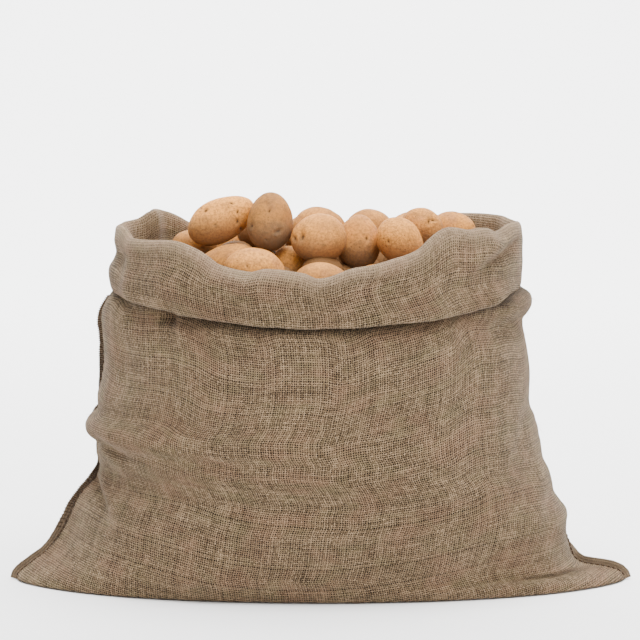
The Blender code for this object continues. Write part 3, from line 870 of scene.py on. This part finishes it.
def heap_top(x, y):
    """Height of the filling's top under the shown potatoes, in millimetres."""
    total = weights = 0.0
    for potato in POTATOES:
        tilt = math.radians(potato.tilt)
        half = math.hypot(potato.length / 2 * math.sin(tilt), potato.thick / 2 * math.cos(tilt))
        weight = 1 / (math.hypot(x - potato.x, y - potato.y) ** 2 + 36) ** 2
        total += weight * (potato.z - 0.55 * half)
        weights += weight
    return total / weights


def make_heap(material):
    """The potatoes under the shown ones, two layers of them in one piece."""
    rng = np.random.default_rng(SEED + 3)
    vertices, faces, deep = [], [], []
    for layer, drop in enumerate(HEAP_DROPS):
        for row in range(-4, 5):
            for column in range(-5, 6):
                x = HEAP_PITCH[0] * (column + 0.5 * ((row + layer) % 2)) + rng.uniform(-4, 4)
                y = HEAP_PITCH[1] * row + 12 * layer + rng.uniform(-4, 4)
                if (x / HEAP_RADII[0]) ** 2 + (y / HEAP_RADII[1]) ** 2 > 1:
                    continue
                z = heap_top(x, y) - drop + rng.uniform(-3, 3)
                potato = Potato(x, y, z, rng.uniform(44, 52), rng.uniform(36, 40),
                                rng.uniform(-15, 15), rng.uniform(0, 180), rng.uniform(-0.1, 0.1))
                world, own_faces, own_deep, _ = potato_shape(potato, HEAP_SEGMENTS, rng)
                start = len(vertices)
                vertices += list(world + np.array((x, y, z)) * MM)
                faces += [tuple(start + i for i in face) for face in own_faces]
                deep += list(own_deep)
    heap = make_piece("potato_heap", vertices, faces, material)
    add_numbers(heap, "eye", deep)
    # browned as painted shade, for the gaps between the shown potatoes
    add_look(heap, HEAP_SHADED_LOOK)
    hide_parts("potato_fill")
    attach(heap, "root")
    return heap


class Nodes:
    """Short calls for building one material's nodes. Most return the new node's output."""

    def __init__(self, name):
        self.material = bpy.data.materials.new(name)
        self.material.use_nodes = True
        self.tree = self.material.node_tree
        self.shader = self.tree.nodes["Principled BSDF"]

    def plug(self, socket, value):
        """Links or sets an input. A colour is given without its alpha."""
        if isinstance(value, bpy.types.NodeSocket):
            self.tree.links.new(value, socket)
        else:
            socket.default_value = (*value, 1) if socket.type == "RGBA" else value

    def add(self, kind, output=0, settings=None, **inputs):
        node = self.tree.nodes.new(kind)
        for name, value in (settings or {}).items():
            setattr(node, name, value)
        for name, value in inputs.items():
            self.plug(node.inputs[name.replace("_", " ")], value)
        return node.outputs[output]

    def calc(self, operation, *values, clamp=False):
        node = self.tree.nodes.new("ShaderNodeMath")
        node.operation = operation
        node.use_clamp = clamp
        for socket, value in zip(node.inputs, values):
            self.plug(socket, value)
        return node.outputs[0]

    def times(self, first, second):
        return self.calc("MULTIPLY", first, second)

    def plus(self, first, second):
        return self.calc("ADD", first, second)

    def ramp(self, value, slope, start):
        return self.calc("MULTIPLY_ADD", value, slope, start)

    def numbers(self, *names):
        """The numbers that the mesh's points hold under these names."""
        kind = "ShaderNodeAttribute"
        return [self.add(kind, output=2, settings={"attribute_name": name}) for name in names]

    def stretch(self, vector, x, y, z=1.0):
        node = self.tree.nodes.new("ShaderNodeVectorMath")
        node.operation = "MULTIPLY"
        self.plug(node.inputs[0], vector)
        node.inputs[1].default_value = (x, y, z)
        return node.outputs[0]

    def noise(self, vector, scale, detail=2.0, roughness=0.5):
        return self.add("ShaderNodeTexNoise", Vector=vector, Scale=scale, Detail=detail, Roughness=roughness)

    def cells(self, vector, scale, feature="F1"):
        """All outputs of a Voronoi texture."""
        node = self.tree.nodes.new("ShaderNodeTexVoronoi")
        node.feature = feature
        node.inputs["Scale"].default_value = scale
        self.plug(node.inputs["Vector"], vector)
        return node.outputs

    def random(self, value, offset):
        number = self.plus(value, offset)
        return self.add("ShaderNodeTexWhiteNoise", settings={"noise_dimensions": "1D"}, W=number)

    def between(self, value, low, high):
        """0 below low and 1 above high, smooth between them."""
        return self.add("ShaderNodeMapRange", settings={"interpolation_type": "SMOOTHSTEP"},
                        Value=value, From_Min=low, From_Max=high)

    def mix(self, share, first, second):
        node = self.tree.nodes.new("ShaderNodeMix")
        node.data_type = "RGBA"
        self.plug(node.inputs["Factor"], share)
        colour_inputs = [s for s in node.inputs if s.type == "RGBA"]
        for socket, value in zip(colour_inputs, (first, second)):
            self.plug(socket, value)
        return [s for s in node.outputs if s.type == "RGBA"][0]

    def bump(self, height, distance, strength):
        return self.add("ShaderNodeBump", Height=height, Distance=distance, Strength=strength)

    def finish(self, **inputs):
        """The material, with these inputs of its shader linked or set."""
        for name, value in inputs.items():
            self.plug(self.shader.inputs[name.replace("_", " ")], value)
        return self.material


YARN_PITCH = 0.0022     # from one yarn of the hessian to the next
JUTE = (0.300, 0.206, 0.122)
JUTE_DARK = (0.081, 0.051, 0.025)
# near black: painted shade for the weave's gaps, and under the cuff
JUTE_GAP_SHADE = (0.007, 0.004, 0.002)
JUTE_WARM = (0.206, 0.113, 0.068)
JUTE_GREEN = (0.163, 0.128, 0.064)
JUTE_WEAR_HIGHLIGHT = (0.225, 0.160, 0.106)


def yarns(n, along, across, offset):
    """One set of parallel yarns: its height here, from 0 in a gap to 1, its number, and its own look."""
    number = n.calc("FLOOR", across)
    middle = n.calc("SUBTRACT", n.calc("FRACT", across), 0.5)
    own = n.random(number, offset)
    place = n.add("ShaderNodeCombineXYZ", X=n.times(along, 0.13), Y=n.times(number, 7.31), Z=offset)
    slub = n.noise(place, 1.0)
    shift = n.ramp(n.random(number, offset + 5.5), 0.24, -0.12)
    width = n.plus(0.13, n.plus(n.times(own, 0.12), n.times(slub, 0.24)))
    share = n.calc("DIVIDE", n.calc("SUBTRACT", middle, shift), width)
    body = n.calc("SQRT", n.calc("SUBTRACT", 1.0, n.times(share, share), clamp=True))
    return body, number, n.ramp(slub, 0.5, n.times(own, 0.4))


def hessian_material():
    """Plain weave of jute yarn, from the cloth's own flat coordinates."""
    n = Nodes("hessian_weave")
    flat = n.add("ShaderNodeUVMap", settings={"uv_map": "cloth"})
    wear_and_highlight, painted_shade = n.numbers("wear_and_highlight", "painted_shade")

    def noise(across, up, scale=1.0, detail=3):
        return n.noise(n.stretch(flat, across, up), scale, detail=detail)

    u, v = (n.add("ShaderNodeSeparateXYZ", output=axis, Vector=flat) for axis in (0, 1))
    u = n.calc("DIVIDE", n.plus(u, n.times(noise(30, 90), 0.0016)), YARN_PITCH)
    v = n.calc("DIVIDE", n.plus(v, n.times(noise(70, 30, 1.3), 0.0016)), YARN_PITCH)
    warp, warp_number, warp_own = yarns(n, v, u, 3.7)
    weft, weft_number, weft_own = yarns(n, u, v, 41.2)
    warp_sign = n.calc("COSINE", n.times(warp_number, math.pi))
    weft_sign = n.calc("COSINE", n.times(weft_number, math.pi))
    over = n.times(n.calc("SINE", n.times(v, math.pi)), warp_sign)
    under = n.times(n.calc("SINE", n.times(u, math.pi)), weft_sign)
    warp_high = n.times(warp, n.ramp(over, 0.28, 0.72))
    weft_high = n.times(weft, n.ramp(under, -0.28, 0.72))
    height = n.calc("MAXIMUM", warp_high, weft_high)
    on_top = n.calc("GREATER_THAN", warp_high, weft_high)
    own = n.plus(n.times(on_top, warp_own), n.times(n.calc("SUBTRACT", 1.0, on_top), weft_own))
    fibre = noise(900, 900, detail=2)
    crossing = n.random(n.ramp(warp_number, 57.31, weft_number), 9.1)
    tone = n.ramp(crossing, 0.55, n.times(own, 0.50))
    tone = n.calc("ADD", tone, n.ramp(fibre, 0.30, -0.16), clamp=True)
    colour = n.mix(tone, JUTE_DARK, JUTE)
    warm = n.between(noise(22, 30), 0.44, 0.66)
    green = n.between(noise(19, 34, 1.7), 0.46, 0.70)
    colour = n.mix(n.times(warm, 0.45), colour, JUTE_WARM)
    colour = n.mix(n.times(green, 0.42), colour, JUTE_GREEN)
    broad = noise(7, 9, detail=4)
    colour = n.mix(n.between(broad, 0.42, 0.80), colour, n.mix(0.22, colour, JUTE_DARK))
    closed = n.between(noise(60, 60, detail=2), 0.42, 0.66)
    fill = n.ramp(closed, 0.15, n.ramp(wear_and_highlight, 0.40, 0.02))
    # painted shade: the gaps between yarns, and the yarns' sides near them, go near black for the dark seen
    # through the open weave
    colour = n.mix(n.between(n.plus(height, fill), 0.34, 0.86), JUTE_GAP_SHADE, colour)
    # wear with painted highlight: the rim's rows are lightened and their weave closed
    colour = n.mix(n.times(wear_and_highlight, 0.40), colour, JUTE_WEAR_HIGHLIGHT)
    # painted shade: the wall just under the cuff's lower edge darkens towards the near-black gap colour
    colour = n.mix(n.times(painted_shade, 0.75), colour, JUTE_GAP_SHADE)
    normal = n.bump(n.plus(height, n.times(fibre, 0.25)), 0.0008, 0.9)
    return n.finish(Base_Color=colour, Normal=normal, Roughness=0.92, Specular_IOR_Level=0.08,
                    Sheen_Weight=0.11, Sheen_Roughness=0.45, Sheen_Tint=(0.95, 0.86, 0.74))


def jute_material(name, light, dark, scale):
    """Loose or spun jute in two tones, for the seams' yarn and the fuzz."""
    n = Nodes(name)
    place = n.add("ShaderNodeTexCoord", output=3)
    strand = n.noise(n.stretch(place, 1.0, 1.0, 0.4), scale, detail=3, roughness=0.65)
    colour = n.mix(n.between(strand, 0.32, 0.68), dark, light)
    normal = n.bump(strand, 0.0006, 0.8)
    return n.finish(Base_Color=colour, Normal=normal, Roughness=0.9, Specular_IOR_Level=0.1,
                    Sheen_Weight=0.15, Sheen_Roughness=0.5)


SKIN_GOLD = (0.50, 0.206, 0.046)
SKIN_PALE = (0.72, 0.299, 0.059)
SKIN_BLUSH = (0.46, 0.198, 0.078)
SKIN_BROWN = (0.152, 0.074, 0.028)
SKIN_UNDERSIDE_SHADE = (0.150, 0.126, 0.090)
SKIN_DIRT = (0.030, 0.016, 0.008)


def skin_material():
    """Potato skin: golden, mottled and scuffed, with speckles, fine net and dark eyes."""
    n = Nodes("potato_skin_look")
    place = n.add("ShaderNodeTexCoord", output=3)
    tone, scuff, speckle, eye, low = n.numbers("tone", "scuff", "speckle", "eye", "low")
    broad = n.noise(place, 42.0, detail=4, roughness=0.55)
    colour = n.mix(n.between(broad, 0.34, 0.68), SKIN_GOLD, SKIN_PALE)
    blush = n.between(n.noise(place, 57.0, detail=5, roughness=0.6), 0.50, 0.66)
    colour = n.mix(n.times(blush, 0.55), colour, SKIN_BLUSH)
    colour = n.mix(n.calc("MULTIPLY", tone, -0.55, clamp=True), colour, SKIN_PALE)
    colour = n.mix(n.calc("MULTIPLY_ADD", tone, 0.22, 0.12, clamp=True), colour, SKIN_BROWN)
    patch = n.between(n.noise(place, 85.0, detail=7, roughness=0.68), 0.49, 0.66)
    colour = n.mix(n.times(patch, n.ramp(scuff, 0.70, 0.16)), colour, SKIN_BROWN)
    fine = n.noise(place, 430.0, detail=4, roughness=0.7)
    colour = n.mix(n.times(n.between(fine, 0.38, 0.68), 0.60), colour, SKIN_BROWN)
    dots = n.cells(place, 240.0)
    lonely = n.calc("LESS_THAN", n.add("ShaderNodeSeparateColor", Color=dots["Color"]), 0.50)
    dot = n.times(n.calc("SUBTRACT", 1.0, n.between(dots["Distance"], 0.10, 0.24)), lonely)
    dot = n.times(dot, n.ramp(speckle, 0.80, 0.20))
    colour = n.mix(dot, colour, SKIN_BROWN)
    net = n.cells(place, 330.0, "DISTANCE_TO_EDGE")
    crack = n.calc("SUBTRACT", 1.0, n.between(net["Distance"], 0.02, 0.16))
    crack = n.times(crack, n.between(speckle, 0.5, 1.0))
    colour = n.mix(n.times(crack, 0.42), colour, SKIN_BROWN)
    colour = n.mix(n.times(n.between(eye, 0.05, 0.60), 0.35), colour, SKIN_BROWN)
    dirt = n.between(n.ramp(fine, 0.5, eye), 0.80, 1.20)
    colour = n.mix(n.times(dirt, 0.85), colour, SKIN_DIRT)
    # painted shade: the undersides turn a darker, greyer brown
    colour = n.mix(n.times(low, 0.70), colour, SKIN_UNDERSIDE_SHADE)
    rough = n.ramp(fine, 0.25, 0.52)
    height = n.plus(n.times(fine, 0.8), n.times(dot, -0.5))
    height = n.plus(height, n.times(crack, -0.5))
    height = n.plus(height, n.times(patch, n.times(scuff, 0.5)))
    normal = n.bump(height, 0.0007, 0.8)
    return n.finish(Base_Color=colour, Normal=normal, Roughness=rough, Specular_IOR_Level=0.06,
                    Subsurface_Weight=0.02, Subsurface_Radius=(0.003, 0.0015, 0.0008), Subsurface_Scale=1.0)


def make_floor():
    """A plain pale floor that runs up into a backdrop."""
    bend = [(3 + 2 * math.sin(a), 2 - 2 * math.cos(a)) for a in np.linspace(0.1, math.pi / 2, 12)]
    profile = [(-6.0, 0.0), (3.0, 0.0), *bend, (5.0, 8.0)]
    vertices = [(x, y, z - 0.0002) for y, z in profile for x in (-9.0, 9.0)]
    faces = [(2 * i, 2 * i + 1, 2 * i + 3, 2 * i + 2) for i in range(len(profile) - 1)]
    pale = Nodes("floor_pale").finish(Base_Color=(0.93, 0.93, 0.93), Roughness=0.85)
    floor = make_piece("floor", vertices, faces, pale)


def add_light(name, place, target, size, energy):
    light = bpy.data.lights.new(name, "AREA")
    light.shape = "RECTANGLE"
    light.size, light.size_y = size
    light.energy = energy
    obj = bpy.data.objects.new(name, light)
    obj.location = place
    obj.rotation_euler = (Vector(target) - Vector(place)).to_track_quat("-Z", "Y").to_euler()
    obj.visible_camera = False
    bpy.context.scene.collection.objects.link(obj)


def add_camera():
    """A long lens in front of the sack, a little above its rim."""
    tilt_down = 6.27
    camera = bpy.data.cameras.new("camera")
    camera.sensor_width = 36
    camera.lens = 144.4
    obj = bpy.data.objects.new("camera", camera)
    obj.location = (0, -2.5, 0.53)
    obj.rotation_euler = (math.radians(90 - tilt_down), 0, 0)
    bpy.context.scene.collection.objects.link(obj)
    bpy.context.scene.camera = obj


def add_world():
    world = bpy.data.worlds.new("studio")
    world.use_nodes = True
    background = world.node_tree.nodes["Background"]
    background.inputs["Color"].default_value = (1, 1, 1, 1)
    background.inputs["Strength"].default_value = 0.96
    bpy.context.scene.world = world


def main():
    add_camera()
    add_world()
    add_light("softbox above", (0.3, -0.5, 2.6), (0, 0, 0.2), (2.2, 2.0), 200)
    add_light("softbox front", (1.1, -2.8, 1.6), (0, 0, 0.2), (1.6, 1.6), 29)
    add_light("backdrop light", (0, 2.2, 3.6), (0, 4.6, 0.6), (7.0, 1.5), 800)
    make_floor()

    hessian = hessian_material()
    yarn = jute_material("brown_yarn", (0.081, 0.047, 0.024), (0.028, 0.016, 0.009), 900.0)
    fuzz_look = jute_material("jute_fibre", (0.31, 0.238, 0.163), (0.213, 0.150, 0.094), 300.0)

    points = cloth_grid()
    cloth = make_cloth(points, hessian)
    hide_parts("front_panel", "back_panel")
    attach(cloth, "root")
    extras = [make_fuzz(points, fuzz_look)]
    for side, u, lay_back in (("left", 0.0, 0), ("right", 1.0, 60)):
        frames = seam_frames(u, lay_back)
        fin = make_seam_fin(f"seam_edge_{side}", frames, hessian)
        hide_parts(f"side_seam_{side}")
        extras += [fin, make_seam_yarn(f"seam_yarn_{side}", frames, yarn)]
    for piece in extras:
        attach(piece, "root")
    heap = make_heap(skin_material())
    make_potatoes(heap.data.materials[0])


main()
